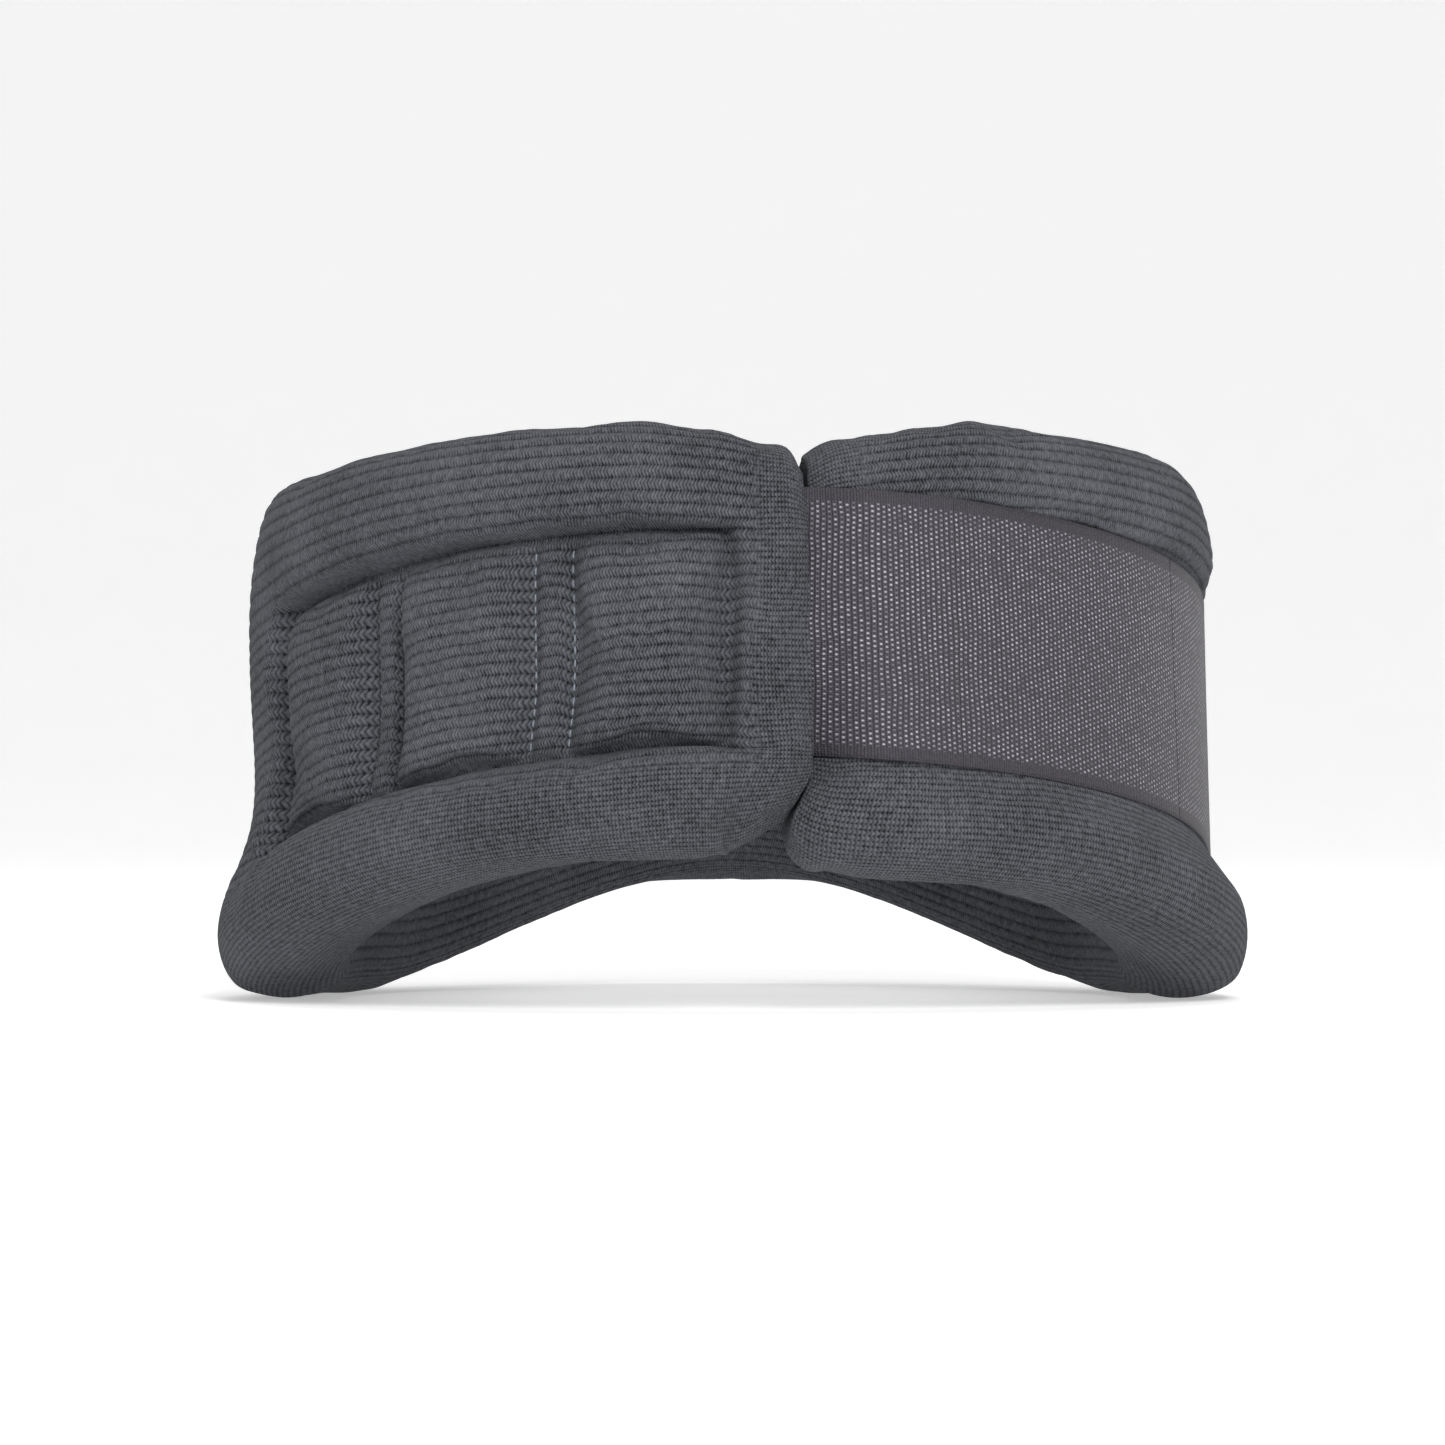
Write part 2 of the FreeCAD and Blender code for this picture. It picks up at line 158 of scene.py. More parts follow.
# ---- the section ----
def closed_spline(points, steps):
    """Smooth closed curve through points, as a dense polyline with the index of each point."""
    p = np.array(points)
    n = len(p)
    h = np.linalg.norm(np.roll(p, -1, axis=0) - p, axis=1)
    matrix, right = np.zeros((n, n)), np.zeros((n, 2))
    for i in range(n):
        before, after = h[i - 1], h[i]
        matrix[i, i - 1] += before
        matrix[i, i] += 2 * (before + after)
        matrix[i, (i + 1) % n] += after
        right[i] = 6 * ((p[(i + 1) % n] - p[i]) / after - (p[i] - p[i - 1]) / before)
    bend = np.linalg.solve(matrix, right)
    t = np.linspace(0, 1, steps, endpoint=False)[:, None]
    runs = []
    for i in range(n):
        a, b, ma, mb = p[i], p[(i + 1) % n], bend[i], bend[(i + 1) % n]
        s = 1 - t
        runs.append(a * s + b * t + h[i] ** 2 / 6 * ((s ** 3 - s) * ma + (t ** 3 - t) * mb))
    return np.vstack(runs)


SPLINE_STEPS = 16
TOP_SPOT = 6  # place of the upper crest among the points of a section


def quarter(arc, length):
    """Rises from 0 to 1 over a length, as a quarter of a round does."""
    return math.sin(math.pi / 2 * min(1.0, arc / length))


def end_reach(arc):
    return ROLL * (END_FILL + (1 - END_FILL) * quarter(arc, ROLL))


def notch(side, arc):
    """Drop of the upper rim and rise of the lower one; they give way at the closure."""
    if side < 0:
        top = 3.2 * (1 - ease((arc - 6) / 14)) + 5.0 * (1 - quarter(arc, 5))
        top -= 1.8 * ease((arc - 16) / 20) * (1 - ease((arc - 85) / 40))
        low = 7.0 * (1 - quarter(arc, 17))
    else:
        top = 2.4 * (1 - ease(arc / 24)) + 3.0 * (1 - quarter(arc, 8))
        top -= 3.4 * ease((arc - 14) / 26) * (1 - ease((arc - 90) / 42))
        low = 4.5 * (1 - quarter(arc, 6)) - 2.2 * (1 - ease((arc - 12) / 45))
    return top, low


def seam_turn(phi, z, arc):
    """The closure leans to the left under the panel; the knit near it goes along."""
    lean = SEAM_LEAN * ease((SEAM_LEAN_BELOW - z) / SEAM_LEAN_OVER) * (1 - ease(arc / 24))
    return arc_angle(lean, phi)


@functools.lru_cache(maxsize=None)
def section(phi, side, arc, fill):
    """Outline of the ring's section, from the lower crest up the neck side and down the outside."""
    reach = end_reach(arc)
    if side < 0:
        reach = max(reach, ROLL * (LEFT_END_FILL + (1 - LEFT_END_FILL) * quarter(arc, 7)))
    drop, rise = notch(side, arc)
    r, f = ring_radius(phi) - ROLL, flare(phi)
    zt, zb = top_edge(phi) - drop - reach, bottom_edge(phi) + rise + reach
    reach *= fill
    top, low, middle = (r, zt), (r + f, zb), (r + 0.1 * f, (zt + zb) / 2)
    waist = (r + 0.3 * f, zb + 1.3 * ROLL)
    d = math.sqrt(0.5)
    spots = [
        (low, (0, -1)), (low, (-d, -d)), (low, (-1, 0)), (middle, (-1, 0)), (top, (-1, 0)), (top, (-d, d)),
        (top, (0, 1)), (top, (d, d)), (top, (1, 0)), (middle, (1, 0)), (waist, (1, 0)), (low, (1, 0)),
        (low, (d, -d)),
    ]
    points = [(spine[0] + reach * way[0], spine[1] + reach * way[1]) for spine, way in spots]
    return closed_spline(points, SPLINE_STEPS)


def spread(run, shares):
    """Points at these shares of a polyline's length."""
    length = np.concatenate([[0], np.cumsum(np.linalg.norm(np.diff(run, axis=0), axis=1))])
    marks = np.array(shares) * length[-1]
    return np.stack([np.interp(marks, length, run[:, 0]), np.interp(marks, length, run[:, 1])], axis=1)


def cut_at_height(run, z):
    """Splits a falling polyline at a height."""
    i = int(np.argmax(run[:, 1] < z))
    t = (run[i - 1, 1] - z) / (run[i - 1, 1] - run[i, 1])
    p = run[i - 1] + t * (run[i] - run[i - 1])
    return np.vstack([run[:i], p]), np.vstack([p, run[i:]])


@functools.lru_cache(maxsize=None)
def row_points(phi, side, arc, fill):
    """A point of the section for each row, with the panel's edges always at the same ribs."""
    outline = section(phi, side, arc, fill)
    crest = TOP_SPOT * SPLINE_STEPS
    inner, outer = outline[:crest + 1], np.vstack([outline[crest:], outline[:1]])
    low, high = panel_edges(phi)
    upper, rest = cut_at_height(outer, high)
    panel, lower = cut_at_height(rest, low)
    points, first = [], 0
    for run, ribs in ((inner, INNER_RIBS), (upper, TOP_RIBS), (panel, PANEL_RIBS), (lower, LOW_RIBS)):
        shares = [(row - first) / ribs for row in ROWS if first <= row < first + ribs]
        points.append(spread(run, shares))
        first += ribs
    return np.vstack(points)


def outer_radius(phi, z):
    """Radius of the plain ring's outer face at a height."""
    outline = section(phi, 1, 99.0, 1.0)
    crest = TOP_SPOT * SPLINE_STEPS
    outer = np.vstack([outline[crest:], outline[:1]])
    return float(np.interp(-z, -outer[:, 1], outer[:, 0])) if z < outer[0, 1] else float(outer[0, 0])


# ---- panels ----
PANEL_TOP_ROW = INNER_RIBS + TOP_RIBS
PANEL_LOW_ROW = PANEL_TOP_ROW + PANEL_RIBS


def panel_cells(start, end, count):
    """Angle ranges of the pads from start to end, with strips between them."""
    side = math.copysign(1, end - start)
    strip = math.degrees(STRIP / (HALF_DEPTH - PANEL_DEPTH))
    pad = (abs(end - start) - (count - 1) * strip) / count
    starts = [i * (pad + strip) for i in range(count)]
    return [(start + side * first, start + side * (first + pad)) for first in starts]


LEFT_PADS = panel_cells(CLOSURE - END_ROLL_ANGLE, CLOSURE - END_ROLL_ANGLE - PANEL_ANGLE, PAD_COUNT)
RIGHT_PADS = panel_cells(CLOSURE + END_ROLL_ANGLE, CLOSURE + END_ROLL_ANGLE + PANEL_ANGLE, PAD_COUNT)
FRONT_PADS = panel_cells(180 - FRONT_PANEL_ANGLE / 2, 180 + FRONT_PANEL_ANGLE / 2, PAD_COUNT)


def dome(x, y):
    """1 in a pad's middle, 0 on its stitched edge; x and y are -1 and 1 at its edges."""
    return math.sqrt(max(0.0, 1 - abs(x) ** 3.4)) * math.sqrt(max(0.0, 1 - abs(y) ** 5))


def sink(phi, row, pads):
    """Depth of the outer face below the plain ring, and how firmly it is stitched down."""
    first, last = min(min(p) for p in pads), max(max(p) for p in pads)
    beyond_side = max(0.0, first - phi, phi - last) * math.radians(1) * ring_radius(phi)
    beyond_row = max(0.0, PANEL_TOP_ROW - row, row - PANEL_LOW_ROW) * RIB_PITCH
    beyond = math.hypot(beyond_side, beyond_row)
    if beyond > 1e-6:
        if beyond >= ROLL_OVERHANG:
            return 0.0, 0.0
        t = 1 - beyond / ROLL_OVERHANG
        return CREASE * (1 - math.sqrt(1 - t * t)), 0.0
    y = 2 * (row - PANEL_TOP_ROW) / PANEL_RIBS - 1
    for pad in pads:
        lo, hi = min(pad), max(pad)
        if lo - 1e-6 <= phi <= hi + 1e-6:
            x = 2 * (phi - lo) / (hi - lo) - 1
            lift = dome(x, y)
            return mix(CREASE, PAD_SINK, lift), 1.0 if lift < 1e-3 else 0.0
    return mix(CREASE, STRIP_SINK, math.sqrt(max(0.0, 1 - abs(y) ** 8))), 1.0


def run_of(start, end, step_mm):
    """Evenly spaced angles from start up to, but without, end."""
    n = max(1, round(abs(end - start) * math.radians(1) * HALF_WIDTH / step_mm))
    return [start + (end - start) * i / n for i in range(n)]


def half_columns(end_phi, side, pads, front_pads):
    """(angle, distance from the closed end, fill) of every column, up to the middle of the front."""
    columns = [(end_phi, 0.0, fill) for fill in END_FILLS]
    columns += [(end_phi + side * arc_angle(arc, end_phi), arc, 1.0) for arc in END_ARCS]
    marks = [end_phi + side * arc_angle(END_COLUMNS_STOP, end_phi)]
    for a, b in pads:
        near, far = (a, b) if abs(a - marks[-1]) < abs(b - marks[-1]) else (b, a)
        marks += [near, far]
    angles = []
    for a, b in zip(marks, marks[1:]):
        wide = abs(b - a) * math.radians(1) * HALF_WIDTH > 2.5 * STRIP
        angles += pad_run(a, b) if wide else run_of(a, b, STRIP_COLUMN)
    ends = [p for pad in front_pads for p in pad]
    ends = sorted(set(round(p, 6) for p in ends), key=lambda p: side * p)
    front_marks = [p for p in ends if side * p < 180 - 1e-6] + [side * 180.0]
    angles += run_of(marks[-1], front_marks[0], COLUMN)
    for a, b in zip(front_marks, front_marks[1:]):
        wide = abs(b - a) * math.radians(1) * HALF_WIDTH > 1.5 * STRIP
        angles += run_of(a, b, FRONT_PAD_COLUMN if wide else FRONT_STRIP_COLUMN)
    angles.append(side * 180.0)
    return columns + [(a, abs(a - end_phi) * math.radians(1) * ring_radius(end_phi), 1.0) for a in angles]


def pad_run(a, b):
    """Columns across a pad, closer together at its stitched edges."""
    n = max(4, round(abs(b - a) * math.radians(1) * HALF_WIDTH / PAD_COLUMN))
    return [mix(a, b, mix(i / n, ease(i / n), 0.35)) for i in range(n)]


# ---- meshes from grids ----
def grid_piece(columns, rows, place, uv_place, loop=False):
    """Grid of quads laid out by place(column, row); loop joins the last row to the first."""
    bm = bmesh.new()
    bmesh.ops.create_grid(bm, x_segments=columns - 1, y_segments=rows - 1, size=0.5)
    uv = bm.loops.layers.uv.verify()
    xs = sorted({round(v.co.x, 5) for v in bm.verts})
    ys = sorted({round(v.co.y, 5) for v in bm.verts})
    ix, iy = {x: i for i, x in enumerate(xs)}, {y: i for i, y in enumerate(ys)}
    spots = {v: (ix[round(v.co.x, 5)], iy[round(v.co.y, 5)]) for v in bm.verts}
    for face in bm.faces:
        for corner in face.loops:
            corner[uv].uv = uv_place(*spots[corner.vert])
    for vert, (i, j) in spots.items():
        vert.co = place(i, j)
    if loop:
        bmesh.ops.remove_doubles(bm, verts=bm.verts, dist=1e-7)
    bmesh.ops.recalc_face_normals(bm, faces=bm.faces)
    return bm


def finish_mesh(name, bm):
    mesh = bpy.data.meshes.new(name)
    bm.to_mesh(mesh)
    bm.free()
    mesh.uv_layers[0].name = "UVMap"
    for polygon in mesh.polygons:
        polygon.use_smooth = True
    piece = bpy.data.objects.new(name, mesh)
    bpy.context.scene.collection.objects.link(piece)
    return piece


def applied(piece, kind, **settings):
    """Adds a modifier, and makes its result the piece's own mesh."""
    modifier = piece.modifiers.new(kind.title(), kind)
    for key, value in settings.items():
        setattr(modifier, key, value)
    bpy.context.view_layer.update()
    mesh = bpy.data.meshes.new_from_object(piece.evaluated_get(bpy.context.evaluated_depsgraph_get()))
    piece.modifiers.clear()
    piece.data = mesh
    return piece


# ---- the knit halves ----
SIM_FRAMES = 16
SWELL_CAP = 1.6  # how far the knit may move from the plain shape
PRESSURE = 3.0
EASE_IN_CLOTH = -0.035  # extra cloth, which puckers at the stitched lines


def swell(piece, pins):
    """Fills the knit with air over its stitched lines and keeps the result."""
    group = piece.vertex_groups.new(name="pins")
    for index, weight in pins.items():
        if weight > 0:
            group.add([index], weight, "REPLACE")
    start = np.empty(len(piece.data.vertices) * 3)
    piece.data.vertices.foreach_get("co", start)
    start = start.reshape(-1, 3)
    cloth = piece.modifiers.new("Cloth", "CLOTH")
    cloth.settings.quality = 6
    cloth.settings.mass = 0.25
    cloth.settings.tension_stiffness = cloth.settings.compression_stiffness = 20
    cloth.settings.shear_stiffness = 8
    cloth.settings.bending_stiffness = 0.4
    cloth.settings.use_pressure = True
    cloth.settings.uniform_pressure_force = PRESSURE
    cloth.settings.shrink_min = EASE_IN_CLOTH
    cloth.settings.vertex_group_mass = "pins"
    cloth.settings.effector_weights.gravity = 0
    cloth.collision_settings.use_collision = False
    cloth.point_cache.frame_end = SIM_FRAMES
    for number in range(1, SIM_FRAMES + 1):
        bpy.context.scene.frame_set(number)
    evaluated = piece.evaluated_get(bpy.context.evaluated_depsgraph_get())
    moved = np.empty(len(start) * 3)
    evaluated.data.vertices.foreach_get("co", moved)
    delta = moved.reshape(-1, 3) - start
    distance = np.linalg.norm(delta, axis=1, keepdims=True)
    limit = SWELL_CAP * MM
    delta *= limit * np.tanh(distance / limit) / np.maximum(distance, 1e-9)
    piece.modifiers.clear()
    piece.vertex_groups.clear()
    piece.data.vertices.foreach_set("co", (start + delta).ravel())
    bpy.context.scene.frame_set(1)


def jersey(row, along):
    """1 where the knit is fine and even (end roll and lower roll), 0 where it is ribbed."""
    low = ease((row - PANEL_LOW_ROW - 1) / 2) if row > INNER_RIBS else 1 - ease((row - 4) / 3)
    return max(low, 1 - ease((along - 15) / 4))


def rib_relief(row, along):
    wave = abs(math.sin(math.pi * row)) ** 0.7
    return RIB_HEIGHT * mix(wave - 0.7, 0.0, jersey(row, along))


def rib_pull(phi, row, pads):
    """How far a rib is drawn down beside a pad's stitched line, with a little waviness."""
    if not PANEL_TOP_ROW < row < PANEL_LOW_ROW:
        return 0.0
    y = 2 * (row - PANEL_TOP_ROW) / PANEL_RIBS - 1
    for pad in pads:
        lo, hi = min(pad), max(pad)
        if lo <= phi <= hi:
            x = 2 * (phi - lo) / (hi - lo) - 1
            wave = noise.noise(Vector((phi * 0.35, row * 0.45, 3.1)))
            pull = math.exp(-(x + 1) / 0.22) + 0.35 * math.exp((x - 1) / 0.16)
            return (1 - y * y) * (RIB_PULL * pull + RIB_WAVE * wave * (1 - x * x))
    return 0.0


def held_in(phi, z, r):
    """Keeps a point of the right half under the tape that presses on it."""
    if not -1 < phi < TAPE_END + 3:
        return r
    middle = tape_middle_height(phi)
    beyond = max(0.0, abs(z - middle) - TAPE_WIDTH / 2)
    if beyond > 9:
        return r
    low, high = tape_faces(min(max(phi, CLOSURE), TAPE_END))
    face = mix(low, high, min(1.0, max(0.0, (z - middle) / TAPE_WIDTH + 0.5)))
    on_patch = ease((phi - PATCH_ANGLES[0] + 3) / 3) * ease((PATCH_ANGLES[1] + 2 - phi) / 2)
    past = 3 * ease((phi - TAPE_END) / 3)
    return min(r, face - UNDER_TAPE - on_patch * PATCH + 0.75 * beyond + past)


def knit_half(name, end_phi, side, pads, under_tape):
    """The knit from a closed end to the middle of the front, filled and ribbed."""
    if side > 0:
        front = FRONT_PADS
    else:
        front = panel_cells(-180 + FRONT_PANEL_ANGLE / 2, -180 - FRONT_PANEL_ANGLE / 2, PAD_COUNT)
    columns = half_columns(end_phi, side, pads, front)
    along = [0.0]
    for (a0, _, f0), (a1, _, f1) in zip(columns, columns[1:]):
        along.append(along[-1] + abs(a1 - a0) * math.radians(1) * HALF_WIDTH + END_ALONG * abs(f1 - f0))

    def place(i, j):
        phi, arc, fill = columns[i]
        row = ROWS[j] % RIBS
        points = row_points(phi, side, arc, fill or 0.01)
        if fill == 0.0 and 0 < row < INNER_RIBS:
            row = RIBS - row
        r, z = points[ROWS.index(row)]
        if row > INNER_RIBS and fill == 1.0:
            r -= max(sink(phi, row, pads)[0], sink(phi, row, front)[0])
            if side < 0 and arc < END_ROLL:
                r += END_BULGE * math.sin(math.pi * arc / END_ROLL) * ease((row - PANEL_TOP_ROW + 4) / 6)
            z -= rib_pull(phi, row, pads) + rib_pull(phi, row, front)
        if under_tape and row > INNER_RIBS:
            r = held_in(phi, z, r)
        return at(phi - seam_turn(phi, z, arc), r, z)

    bm = grid_piece(len(columns), len(ROWS), place, lambda i, j: (along[i], ROWS[j]), loop=True)
    piece = finish_mesh(name, bm)
    uv = piece.data.uv_layers["UVMap"].data
    nearest, pins = np.array(along), {}
    for loop in piece.data.loops:
        distance, row = uv[loop.index].uv
        row %= RIBS
        i = int(np.argmin(np.abs(nearest - distance)))
        phi, _, fill = columns[i]
        firm = 1.0 if 3 < row < INNER_RIBS - 3 or fill < 1.0 or i >= len(columns) - 1 else 0.0
        if row > INNER_RIBS:
            firm = max(firm, sink(phi, row, pads)[1], sink(phi, row, front)[1])
        pins[loop.vertex_index] = firm
    swell(piece, pins)
    if under_tape:
        for vert in piece.data.vertices:
            x, y, z = (c / MM for c in vert.co)
            r, phi = math.hypot(x, y), math.degrees(math.atan2(x, -y))
            limit = held_in(phi, z, r)
            if limit < r and r > ring_radius(phi) - ROLL:
                vert.co = at(phi, limit, z)
    applied(piece, "SUBSURF", levels=1, render_levels=1)
    split_rows(piece)
    raise_ribs(piece)
    return piece


def split_rows(piece):
    """Halves every quad across the ribs, so that each rib has four rows."""
    bm = bmesh.new()
    bm.from_mesh(piece.data)
    uv = bm.loops.layers.uv.verify()
    across = set()
    for face in bm.faces:
        for corner in face.loops:
            a, b = corner[uv].uv, corner.link_loop_next[uv].uv
            if abs(a.y - b.y) > 0.25:
                across.add(corner.edge)
    bmesh.ops.subdivide_edges(bm, edges=list(across), cuts=1, use_grid_fill=True)
    bm.to_mesh(piece.data)
    bm.free()


def raise_ribs(piece):
    """Raises the ribs and marks, for the material, where the knit is fine."""
    mesh = piece.data
    uv = mesh.uv_layers["UVMap"].data
    where = {}
    for loop in mesh.loops:
        where[loop.vertex_index] = (uv[loop.index].uv[1] % RIBS, uv[loop.index].uv[0])
    count = len(mesh.vertices)
    relief = np.array([rib_relief(*where[i]) for i in range(count)])
    spots, normals = np.empty(count * 3), np.empty(count * 3)
    mesh.vertices.foreach_get("co", spots)
    mesh.vertices.foreach_get("normal", normals)
    spots += (normals.reshape(-1, 3) * relief[:, None] * MM).ravel()
    mesh.vertices.foreach_set("co", spots)
    fine = mesh.attributes.new("fine_knit", "FLOAT", "POINT")
    fine.data.foreach_set("value", [jersey(*where[i]) for i in range(count)])
    mesh.update()


# ---- materials ----
class Nodes:
    """Short way to write a material's node tree."""

    def __init__(self, name):
        self.material = bpy.data.materials.new(name)
        self.material.use_nodes = True
        self.tree = self.material.node_tree
        self.shader = self.tree.nodes["Principled BSDF"]

    def add(self, kind, inputs=None, **settings):
        node = self.tree.nodes.new(kind)
        for key, value in settings.items():
            setattr(node, key, value)
        for key, value in (inputs or {}).items():
            self.feed(node.inputs[key], value)
        return node

    def feed(self, socket, value):
        if isinstance(value, bpy.types.NodeSocket):
            self.tree.links.new(value, socket)
        elif isinstance(value, bpy.types.Node):
            self.tree.links.new(value.outputs[0], socket)
        else:
            socket.default_value = value

    def maths(self, operation, a, b=0.0, c=0.0):
        return self.add("ShaderNodeMath", {0: a, 1: b, 2: c}, operation=operation).outputs[0]

    def blend(self, factor, a, b):
        node = self.add("ShaderNodeMix", {"Factor": factor}, data_type="RGBA")
        self.feed(node.inputs[6], a)
        self.feed(node.inputs[7], b)
        return node.outputs[2]

    def uv(self):
        place = self.add("ShaderNodeUVMap", uv_map="UVMap").outputs[0]
        split = self.add("ShaderNodeSeparateXYZ", {0: place})
        return split.outputs[0], split.outputs[1]

    def noise(self, vector, scale, detail=3.0, roughness=0.55):
        return self.add("ShaderNodeTexNoise", {"Vector": vector, "Scale": scale, "Detail": detail,
                                               "Roughness": roughness}).outputs[0]

    def bump(self, height, distance, strength=1.0, normal=None):
        inputs = {"Height": height, "Distance": distance, "Strength": strength}
        if normal is not None:
            inputs["Normal"] = normal
        return self.add("ShaderNodeBump", inputs).outputs[0]

    def finish(self, color, roughness, normal, sheen=0.0, sheen_tint=(1, 1, 1, 1), specular=0.3):
        self.feed(self.shader.inputs["Base Color"], color)
        self.feed(self.shader.inputs["Roughness"], roughness)
        self.feed(self.shader.inputs["Normal"], normal)
        self.shader.inputs["Sheen Weight"].default_value = sheen
        self.shader.inputs["Sheen Roughness"].default_value = 0.45
        self.shader.inputs["Sheen Tint"].default_value = sheen_tint
        self.shader.inputs["Specular IOR Level"].default_value = specular
        return self.material


def rgb(r, g, b):
    """Linear colour from 0-255 display values."""
    def linear(v):
        v /= 255
        return v / 12.92 if v <= 0.04045 else ((v + 0.055) / 1.055) ** 2.4
    return (linear(r), linear(g), linear(b), 1.0)


STITCH = 0.66  # pitch of the stitches along a rib


def knit_material(name, dark, light):
    """Ribs of slanted stitches; where the knit is fine, twice as many rows of small stitches."""
    n = Nodes(name)
    along, rib = n.uv()
    fine = n.add("ShaderNodeAttribute", attribute_name="fine_knit").outputs["Fac"]
    spot = n.add("ShaderNodeTexCoord").outputs["Object"]
    drift = n.maths("MULTIPLY", n.maths("SUBTRACT", n.noise(spot, 160.0, 2.0), 0.5), 0.16)
    rib = n.maths("ADD", rib, drift)

    def stitches(rows, pitch, slant, rim):
        """Height of the yarn for rows per rib, and how deep between two rows a point is."""
        within = n.maths("FRACT", n.maths("MULTIPLY", rib, rows))
        off = n.maths("ABSOLUTE", n.maths("SUBTRACT", within, 0.5))
        phase = n.maths("ADD", n.maths("DIVIDE", along, pitch), n.maths("MULTIPLY", off, slant))
        loop = n.maths("ABSOLUTE", n.maths("SINE", n.maths("MULTIPLY", phase, math.pi)))
        groove = n.maths("POWER", n.maths("MULTIPLY", off, 2.0), rim)
        return loop, groove

    coarse_loop, coarse_groove = stitches(1.0, STITCH, 1.5, 3.0)
    fine_loop, fine_groove = stitches(2.0, STITCH, 0.9, 2.0)

    def pick(a, b):
        return n.add("ShaderNodeMix", {"Factor": fine, "A": a, "B": b}, data_type="FLOAT").outputs[0]

    loop, groove = pick(coarse_loop, fine_loop), pick(coarse_groove, fine_groove)
    fuzz = n.noise(spot, 2400.0, 4.0, 0.75)
    fleck = n.noise(spot, 1100.0, 2.0, 0.6)
    patch = n.noise(spot, 45.0, 3.0)
    height = n.maths("ADD", n.maths("SUBTRACT", loop, n.maths("MULTIPLY", groove, 1.1)),
                     n.maths("MULTIPLY", fuzz, 1.1))
    bump = n.bump(height, 0.00028, 0.9)
    # Painted light: the colour is lighter on the raised loops (painted highlight) and darker in the grooves
    # between rows (painted shade); fuzz, flecks and patches are the yarn's own uneven tone.
    shade = n.maths("MULTIPLY_ADD", loop, 0.42, n.maths("MULTIPLY", fuzz, 0.45))
    shade = n.maths("SUBTRACT", shade, n.maths("MULTIPLY", groove, 0.34))
    shade = n.maths("ADD", shade, n.maths("MULTIPLY", n.maths("SUBTRACT", fleck, 0.5), 1.0))
    shade = n.maths("ADD", shade, n.maths("MULTIPLY", n.maths("SUBTRACT", patch, 0.5), 0.45))
    factor = n.add("ShaderNodeClamp", {0: shade}).outputs[0]
    return n.finish(n.blend(factor, dark, light), 0.92, bump, sheen=0.08, sheen_tint=(0.85, 0.88, 0.95, 1),
                    specular=0.12)


def tape_material(name):
    """Woven tape: fine upright ridges, a lattice of light dots, plain edges."""
    n = Nodes(name)
    along, across = n.uv()
    spot = n.add("ShaderNodeTexCoord").outputs["Object"]
    wander = n.maths("MULTIPLY", n.maths("SUBTRACT", n.noise(spot, 90.0, 2.0), 0.5), 1.1)
    u = n.maths("DIVIDE", n.maths("ADD", along, wander), 1.08)
    v = n.maths("DIVIDE", across, 0.93)
    column = n.maths("FLOOR", u)
    v = n.maths("ADD", v, n.maths("MULTIPLY", n.maths("FLOORED_MODULO", column, 2.0), 0.5))
    cell = n.add("ShaderNodeCombineXYZ", {0: column, 1: n.maths("FLOOR", v)}).outputs[0]
    chance = n.add("ShaderNodeTexWhiteNoise", {"Vector": cell}, noise_dimensions="2D").outputs[0]
    du = n.maths("SUBTRACT", n.maths("FRACT", u), 0.5)
    dv = n.maths("SUBTRACT", n.maths("FRACT", v), 0.5)
    away = n.maths("SQRT", n.maths("ADD", n.maths("MULTIPLY", du, du), n.maths("MULTIPLY", dv, dv)))
    dot = n.add("ShaderNodeMapRange", {"Value": away, "From Min": 0.32, "From Max": 0.08}).outputs[0]
    edge = n.maths("ABSOLUTE", n.maths("SUBTRACT", across, TAPE_WIDTH / 2))
    field = n.add("ShaderNodeMapRange", {"Value": edge, "From Min": TAPE_WIDTH / 2 - 2.2,
                                         "From Max": TAPE_WIDTH / 2 - 2.8}).outputs[0]
    uneven = n.maths("MULTIPLY_ADD", chance, 0.75, 0.25)
    bright = n.maths("MULTIPLY", n.maths("MULTIPLY", dot, field), uneven)
    ridge = n.maths("ABSOLUTE", n.maths("SINE", n.maths("MULTIPLY", u, 2 * math.pi)))
    weft = n.maths("SINE", n.maths("MULTIPLY", across, 2 * math.pi / 0.46))
    height = n.maths("ADD", n.maths("MULTIPLY", ridge, 0.8), n.maths("MULTIPLY", weft, 0.25))
    height = n.maths("ADD", height, n.maths("MULTIPLY", dot, 1.0))
    bump = n.bump(height, 0.00014, 0.8)
    grain = n.noise(spot, 1500.0, 2.0)
    # Painted highlight: the weave's ridges are coloured lighter than its hollows; the grain is the tape's own
    # uneven tone.
    tone = n.maths("ADD", n.maths("MULTIPLY", ridge, 0.45), n.maths("MULTIPLY", grain, 0.5))
    base = n.blend(tone, rgb(18, 16, 20), rgb(74, 70, 78))
    color = n.blend(n.maths("MULTIPLY", bright, 0.85), base, rgb(196, 192, 202))
    return n.finish(color, 0.62, bump, sheen=0.08, specular=0.3)


def thread_material(name, color):
    """Twisted yarn of one colour."""
    n = Nodes(name)
    spot = n.add("ShaderNodeTexCoord").outputs["Object"]
    twist = n.noise(spot, 3000.0, 3.0)
    tone = n.blend(twist, tuple(0.5 * c for c in color[:3]) + (1,), color)
    return n.finish(tone, 0.6, n.bump(twist, 0.0001, 0.6), sheen=0.1)


